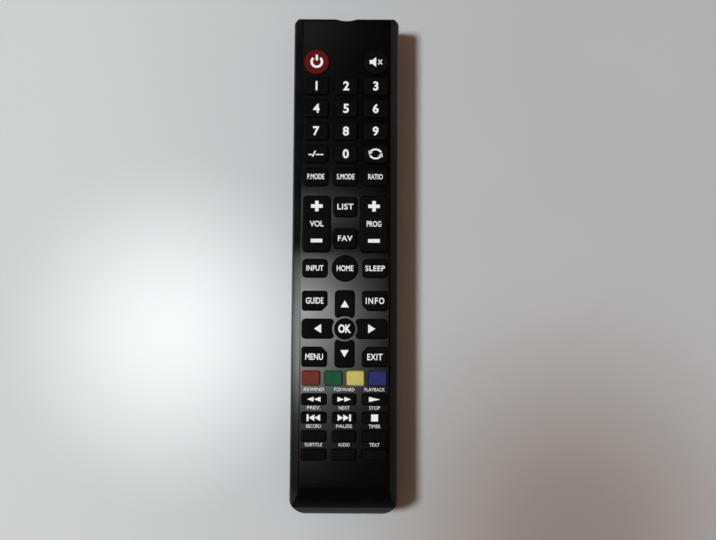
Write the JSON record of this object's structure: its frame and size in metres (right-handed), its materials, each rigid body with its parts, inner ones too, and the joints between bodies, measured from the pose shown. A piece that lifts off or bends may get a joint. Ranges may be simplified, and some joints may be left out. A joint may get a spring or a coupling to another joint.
{
  "type": "television remote control",
  "caption": "Long slim handset with a full keypad of rubber keys, two rockers, an arrow pad and a sliding battery cover.",
  "frame": {"origin": "middle of the back, on the surface that the handset lies on", "axes": "+X across to the right of the key face, +Y towards the infrared end, +Z out of the key face"},
  "size_m": [0.0446, 0.205, 0.0216],
  "materials": {
    "case_black": "glossy black ABS",
    "rubber_black": "matte black silicone with white print",
    "rubber_power_red": "matte deep red silicone",
    "rubber_red": "matte red silicone",
    "rubber_green": "matte green silicone",
    "rubber_yellow": "matte yellow silicone",
    "rubber_blue": "matte blue silicone",
    "silicone": "grey silicone sheet",
    "window_dark": "infrared-passing polycarbonate",
    "lamp_epoxy": "clear bluish epoxy",
    "board": "green paper laminate",
    "chip": "moulded epoxy",
    "component": "sleeved capacitor and resonator",
    "cell_sleeve": "printed cell sleeve",
    "contact_metal": "nickel-plated spring steel"
  },
  "bodies": {
    "handset": {"top_case": "case_black", "bottom_case": "case_black", "ir_window": "window_dark", "ir_led": "lamp_epoxy", "circuit_board": "board", "control_chip": "chip", "board_components": "component", "keypad_mat": "silicone", "battery_cells": "cell_sleeve", "battery_contacts": "contact_metal"},
    "battery_cover": {"battery_cover": "case_black"},
    "audio_key": {"audio_key": "rubber_black"},
    "blue_key": {"blue_key": "rubber_blue"},
    "channel_rocker": {"channel_rocker": "rubber_black"},
    "digit_0_key": {"digit_0_key": "rubber_black"},
    "digit_1_key": {"digit_1_key": "rubber_black"},
    "digit_2_key": {"digit_2_key": "rubber_black"},
    "digit_3_key": {"digit_3_key": "rubber_black"},
    "digit_4_key": {"digit_4_key": "rubber_black"},
    "digit_5_key": {"digit_5_key": "rubber_black"},
    "digit_6_key": {"digit_6_key": "rubber_black"},
    "digit_7_key": {"digit_7_key": "rubber_black"},
    "digit_8_key": {"digit_8_key": "rubber_black"},
    "digit_9_key": {"digit_9_key": "rubber_black"},
    "down_key": {"down_key": "rubber_black"},
    "exit_key": {"exit_key": "rubber_black"},
    "favourite_key": {"favourite_key": "rubber_black"},
    "forward_key": {"forward_key": "rubber_black"},
    "green_key": {"green_key": "rubber_green"},
    "guide_key": {"guide_key": "rubber_black"},
    "home_key": {"home_key": "rubber_black"},
    "info_key": {"info_key": "rubber_black"},
    "input_key": {"input_key": "rubber_black"},
    "left_key": {"left_key": "rubber_black"},
    "list_key": {"list_key": "rubber_black"},
    "menu_key": {"menu_key": "rubber_black"},
    "mute_key": {"mute_key": "rubber_black"},
    "next_key": {"next_key": "rubber_black"},
    "ok_key": {"ok_key": "rubber_black"},
    "pause_key": {"pause_key": "rubber_black"},
    "picture_key": {"picture_key": "rubber_black"},
    "play_key": {"play_key": "rubber_black"},
    "power_key": {"power_key": "rubber_power_red"},
    "previous_key": {"previous_key": "rubber_black"},
    "ratio_key": {"ratio_key": "rubber_black"},
    "recall_key": {"recall_key": "rubber_black"},
    "record_key": {"record_key": "rubber_black"},
    "red_key": {"red_key": "rubber_red"},
    "rewind_key": {"rewind_key": "rubber_black"},
    "right_key": {"right_key": "rubber_black"},
    "sleep_key": {"sleep_key": "rubber_black"},
    "sound_key": {"sound_key": "rubber_black"},
    "stop_key": {"stop_key": "rubber_black"},
    "subtitle_key": {"subtitle_key": "rubber_black"},
    "text_key": {"text_key": "rubber_black"},
    "timer_key": {"timer_key": "rubber_black"},
    "two_digit_key": {"two_digit_key": "rubber_black"},
    "up_key": {"up_key": "rubber_black"},
    "volume_rocker": {"volume_rocker": "rubber_black"},
    "yellow_key": {"yellow_key": "rubber_yellow"}
  },
  "joints": [
    {"name": "battery_cover_slide", "type": "slide", "parent": "handset", "child": "battery_cover", "axis": [0, -1, 0], "range_m": [0, 0.06]},
    {"name": "audio_key_press", "type": "slide", "parent": "handset", "child": "audio_key", "axis": [0, 0, -1], "range_m": [0, 0.001], "stiffness_N_per_m": 1200},
    {"name": "blue_key_press", "type": "slide", "parent": "handset", "child": "blue_key", "axis": [0, 0, -1], "range_m": [0, 0.001], "stiffness_N_per_m": 1200},
    {"name": "channel_rocker_tip", "type": "hinge", "parent": "handset", "child": "channel_rocker", "pos_m": [0.01175, 0.0153, 0.0174], "axis": [1, 0, 0], "range_deg": [-4, 4], "stiffness_Nm_per_rad": 0.15},
    {"name": "digit_0_key_press", "type": "slide", "parent": "handset", "child": "digit_0_key", "axis": [0, 0, -1], "range_m": [0, 0.001], "stiffness_N_per_m": 1200},
    {"name": "digit_1_key_press", "type": "slide", "parent": "handset", "child": "digit_1_key", "axis": [0, 0, -1], "range_m": [0, 0.001], "stiffness_N_per_m": 1200},
    {"name": "digit_2_key_press", "type": "slide", "parent": "handset", "child": "digit_2_key", "axis": [0, 0, -1], "range_m": [0, 0.001], "stiffness_N_per_m": 1200},
    {"name": "digit_3_key_press", "type": "slide", "parent": "handset", "child": "digit_3_key", "axis": [0, 0, -1], "range_m": [0, 0.001], "stiffness_N_per_m": 1200},
    {"name": "digit_4_key_press", "type": "slide", "parent": "handset", "child": "digit_4_key", "axis": [0, 0, -1], "range_m": [0, 0.001], "stiffness_N_per_m": 1200},
    {"name": "digit_5_key_press", "type": "slide", "parent": "handset", "child": "digit_5_key", "axis": [0, 0, -1], "range_m": [0, 0.001], "stiffness_N_per_m": 1200},
    {"name": "digit_6_key_press", "type": "slide", "parent": "handset", "child": "digit_6_key", "axis": [0, 0, -1], "range_m": [0, 0.001], "stiffness_N_per_m": 1200},
    {"name": "digit_7_key_press", "type": "slide", "parent": "handset", "child": "digit_7_key", "axis": [0, 0, -1], "range_m": [0, 0.001], "stiffness_N_per_m": 1200},
    {"name": "digit_8_key_press", "type": "slide", "parent": "handset", "child": "digit_8_key", "axis": [0, 0, -1], "range_m": [0, 0.001], "stiffness_N_per_m": 1200},
    {"name": "digit_9_key_press", "type": "slide", "parent": "handset", "child": "digit_9_key", "axis": [0, 0, -1], "range_m": [0, 0.001], "stiffness_N_per_m": 1200},
    {"name": "down_key_press", "type": "slide", "parent": "handset", "child": "down_key", "axis": [0, 0, -1], "range_m": [0, 0.001], "stiffness_N_per_m": 1200},
    {"name": "exit_key_press", "type": "slide", "parent": "handset", "child": "exit_key", "axis": [0, 0, -1], "range_m": [0, 0.001], "stiffness_N_per_m": 1200},
    {"name": "favourite_key_press", "type": "slide", "parent": "handset", "child": "favourite_key", "axis": [0, 0, -1], "range_m": [0, 0.001], "stiffness_N_per_m": 1200},
    {"name": "forward_key_press", "type": "slide", "parent": "handset", "child": "forward_key", "axis": [0, 0, -1], "range_m": [0, 0.001], "stiffness_N_per_m": 1200},
    {"name": "green_key_press", "type": "slide", "parent": "handset", "child": "green_key", "axis": [0, 0, -1], "range_m": [0, 0.001], "stiffness_N_per_m": 1200},
    {"name": "guide_key_press", "type": "slide", "parent": "handset", "child": "guide_key", "axis": [0, 0, -1], "range_m": [0, 0.001], "stiffness_N_per_m": 1200},
    {"name": "home_key_press", "type": "slide", "parent": "handset", "child": "home_key", "axis": [0, 0, -1], "range_m": [0, 0.001], "stiffness_N_per_m": 1200},
    {"name": "info_key_press", "type": "slide", "parent": "handset", "child": "info_key", "axis": [0, 0, -1], "range_m": [0, 0.001], "stiffness_N_per_m": 1200},
    {"name": "input_key_press", "type": "slide", "parent": "handset", "child": "input_key", "axis": [0, 0, -1], "range_m": [0, 0.001], "stiffness_N_per_m": 1200},
    {"name": "left_key_press", "type": "slide", "parent": "handset", "child": "left_key", "axis": [0, 0, -1], "range_m": [0, 0.001], "stiffness_N_per_m": 1200},
    {"name": "list_key_press", "type": "slide", "parent": "handset", "child": "list_key", "axis": [0, 0, -1], "range_m": [0, 0.001], "stiffness_N_per_m": 1200},
    {"name": "menu_key_press", "type": "slide", "parent": "handset", "child": "menu_key", "axis": [0, 0, -1], "range_m": [0, 0.001], "stiffness_N_per_m": 1200},
    {"name": "mute_key_press", "type": "slide", "parent": "handset", "child": "mute_key", "axis": [0, 0, -1], "range_m": [0, 0.001], "stiffness_N_per_m": 1200},
    {"name": "next_key_press", "type": "slide", "parent": "handset", "child": "next_key", "axis": [0, 0, -1], "range_m": [0, 0.001], "stiffness_N_per_m": 1200},
    {"name": "ok_key_press", "type": "slide", "parent": "handset", "child": "ok_key", "axis": [0, 0, -1], "range_m": [0, 0.001], "stiffness_N_per_m": 1200},
    {"name": "pause_key_press", "type": "slide", "parent": "handset", "child": "pause_key", "axis": [0, 0, -1], "range_m": [0, 0.001], "stiffness_N_per_m": 1200},
    {"name": "picture_key_press", "type": "slide", "parent": "handset", "child": "picture_key", "axis": [0, 0, -1], "range_m": [0, 0.001], "stiffness_N_per_m": 1200},
    {"name": "play_key_press", "type": "slide", "parent": "handset", "child": "play_key", "axis": [0, 0, -1], "range_m": [0, 0.001], "stiffness_N_per_m": 1200},
    {"name": "power_key_press", "type": "slide", "parent": "handset", "child": "power_key", "axis": [0, 0, -1], "range_m": [0, 0.001], "stiffness_N_per_m": 1200},
    {"name": "previous_key_press", "type": "slide", "parent": "handset", "child": "previous_key", "axis": [0, 0, -1], "range_m": [0, 0.001], "stiffness_N_per_m": 1200},
    {"name": "ratio_key_press", "type": "slide", "parent": "handset", "child": "ratio_key", "axis": [0, 0, -1], "range_m": [0, 0.001], "stiffness_N_per_m": 1200},
    {"name": "recall_key_press", "type": "slide", "parent": "handset", "child": "recall_key", "axis": [0, 0, -1], "range_m": [0, 0.001], "stiffness_N_per_m": 1200},
    {"name": "record_key_press", "type": "slide", "parent": "handset", "child": "record_key", "axis": [0, 0, -1], "range_m": [0, 0.001], "stiffness_N_per_m": 1200},
    {"name": "red_key_press", "type": "slide", "parent": "handset", "child": "red_key", "axis": [0, 0, -1], "range_m": [0, 0.001], "stiffness_N_per_m": 1200},
    {"name": "rewind_key_press", "type": "slide", "parent": "handset", "child": "rewind_key", "axis": [0, 0, -1], "range_m": [0, 0.001], "stiffness_N_per_m": 1200},
    {"name": "right_key_press", "type": "slide", "parent": "handset", "child": "right_key", "axis": [0, 0, -1], "range_m": [0, 0.001], "stiffness_N_per_m": 1200},
    {"name": "sleep_key_press", "type": "slide", "parent": "handset", "child": "sleep_key", "axis": [0, 0, -1], "range_m": [0, 0.001], "stiffness_N_per_m": 1200},
    {"name": "sound_key_press", "type": "slide", "parent": "handset", "child": "sound_key", "axis": [0, 0, -1], "range_m": [0, 0.001], "stiffness_N_per_m": 1200},
    {"name": "stop_key_press", "type": "slide", "parent": "handset", "child": "stop_key", "axis": [0, 0, -1], "range_m": [0, 0.001], "stiffness_N_per_m": 1200},
    {"name": "subtitle_key_press", "type": "slide", "parent": "handset", "child": "subtitle_key", "axis": [0, 0, -1], "range_m": [0, 0.001], "stiffness_N_per_m": 1200},
    {"name": "text_key_press", "type": "slide", "parent": "handset", "child": "text_key", "axis": [0, 0, -1], "range_m": [0, 0.001], "stiffness_N_per_m": 1200},
    {"name": "timer_key_press", "type": "slide", "parent": "handset", "child": "timer_key", "axis": [0, 0, -1], "range_m": [0, 0.001], "stiffness_N_per_m": 1200},
    {"name": "two_digit_key_press", "type": "slide", "parent": "handset", "child": "two_digit_key", "axis": [0, 0, -1], "range_m": [0, 0.001], "stiffness_N_per_m": 1200},
    {"name": "up_key_press", "type": "slide", "parent": "handset", "child": "up_key", "axis": [0, 0, -1], "range_m": [0, 0.001], "stiffness_N_per_m": 1200},
    {"name": "volume_rocker_tip", "type": "hinge", "parent": "handset", "child": "volume_rocker", "pos_m": [-0.01175, 0.0153, 0.0174], "axis": [1, 0, 0], "range_deg": [-4, 4], "stiffness_Nm_per_rad": 0.15},
    {"name": "yellow_key_press", "type": "slide", "parent": "handset", "child": "yellow_key", "axis": [0, 0, -1], "range_m": [0, 0.001], "stiffness_N_per_m": 1200}
  ]
}
